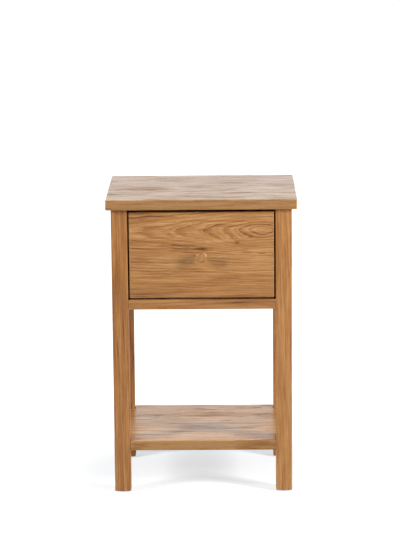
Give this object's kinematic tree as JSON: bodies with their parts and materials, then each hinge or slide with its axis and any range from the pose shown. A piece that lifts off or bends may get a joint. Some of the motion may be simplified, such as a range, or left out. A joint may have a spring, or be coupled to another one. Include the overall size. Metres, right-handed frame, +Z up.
{
  "type": "side table with drawer",
  "caption": "Small square-legged oak side table with one inset drawer on a turned knob, open space below it and a low shelf notched round the legs.",
  "frame": {"origin": "on the floor under the middle of the whole outline, knob included", "axes": "+Z up; the drawer faces -Y and opens towards -Y; +X is to the right of someone facing the drawer"},
  "size_m": [0.4, 0.3344, 0.634],
  "materials": {
    "oak_top": "satin lacquered oak, long staves, pale with sheen",
    "oak_frame": "satin lacquered oak, straight grain",
    "oak_front": "satin lacquered oak, crown-cut figure",
    "pale_wood": "planed, unfinished",
    "plywood": "sanded thin plywood",
    "beech": "plain dowel",
    "steel": "zinc-plated",
    "nylon": "moulded, brown"
  },
  "bodies": {
    "table": {"table_top": "oak_top", "shelf": "oak_top", "drawer_rail": "oak_frame", "side_apron_left": "oak_frame", "side_apron_right": "oak_frame", "back_apron": "oak_frame", "leg_front_left": "oak_frame", "glide_front_left": "nylon", "leg_front_right": "oak_frame", "glide_front_right": "nylon", "leg_back_left": "oak_frame", "glide_back_left": "nylon", "leg_back_right": "oak_frame", "glide_back_right": "nylon", "drawer_runner_left": "pale_wood", "drawer_guide_left": "pale_wood", "drawer_kicker_left": "pale_wood", "drawer_stop_left": "pale_wood", "drawer_runner_right": "pale_wood", "drawer_guide_right": "pale_wood", "drawer_kicker_right": "pale_wood", "drawer_stop_right": "pale_wood", "rail_dowel_left_outer": "beech", "rail_dowel_left_inner": "beech", "rail_dowel_right_outer": "beech", "rail_dowel_right_inner": "beech", "shelf_dowel_front_left": "beech", "top_screw_front_left": "steel", "shelf_dowel_front_right": "beech", "top_screw_front_right": "steel", "shelf_dowel_back_left": "beech", "top_screw_back_left": "steel", "shelf_dowel_back_right": "beech", "top_screw_back_right": "steel"},
    "drawer": {"drawer_front": "oak_front", "drawer_side_left": "pale_wood", "drawer_side_right": "pale_wood", "drawer_back": "pale_wood", "drawer_bottom": "plywood", "drawer_knob": "oak_front", "knob_screw": "steel", "bottom_screw_left": "steel", "bottom_screw_right": "steel"}
  },
  "joints": [
    {"name": "drawer_slide", "type": "slide", "parent": "table", "child": "drawer", "axis": [0, -1, 0], "range_m": [0, 0.19]}
  ]
}
